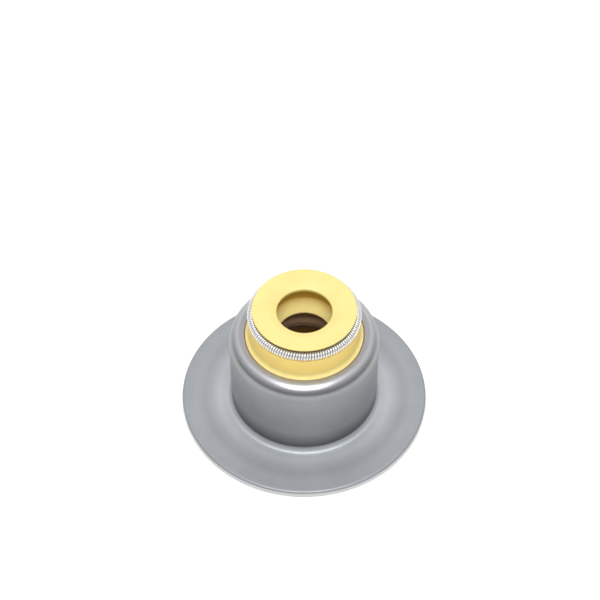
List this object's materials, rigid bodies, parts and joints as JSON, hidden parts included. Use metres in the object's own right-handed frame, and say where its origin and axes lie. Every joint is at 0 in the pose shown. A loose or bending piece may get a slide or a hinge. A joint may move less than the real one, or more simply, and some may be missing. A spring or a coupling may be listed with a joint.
{
  "type": "valve stem seal",
  "caption": "Valve stem seal with integral spring seat: a rubber seal with a garter spring round its lip, moulded into a drawn steel shell with a wide flange.",
  "frame": {"origin": "centre of the flange's underside, the face that sits on the cylinder head", "axes": "+Z along the valve stem, from the flange towards the sealing lip; X and Y are free, because the part is round"},
  "size_m": [0.04, 0.04, 0.0223],
  "materials": {
    "shell_steel": "satin grey, lightly phosphated drawn steel",
    "seal_rubber": "smooth moulded, slight gloss",
    "spring_steel": "bright drawn wire"
  },
  "bodies": {
    "root": {"steel_shell": "shell_steel", "seal_body": "seal_rubber", "garter_spring": "spring_steel"}
  },
  "joints": []
}
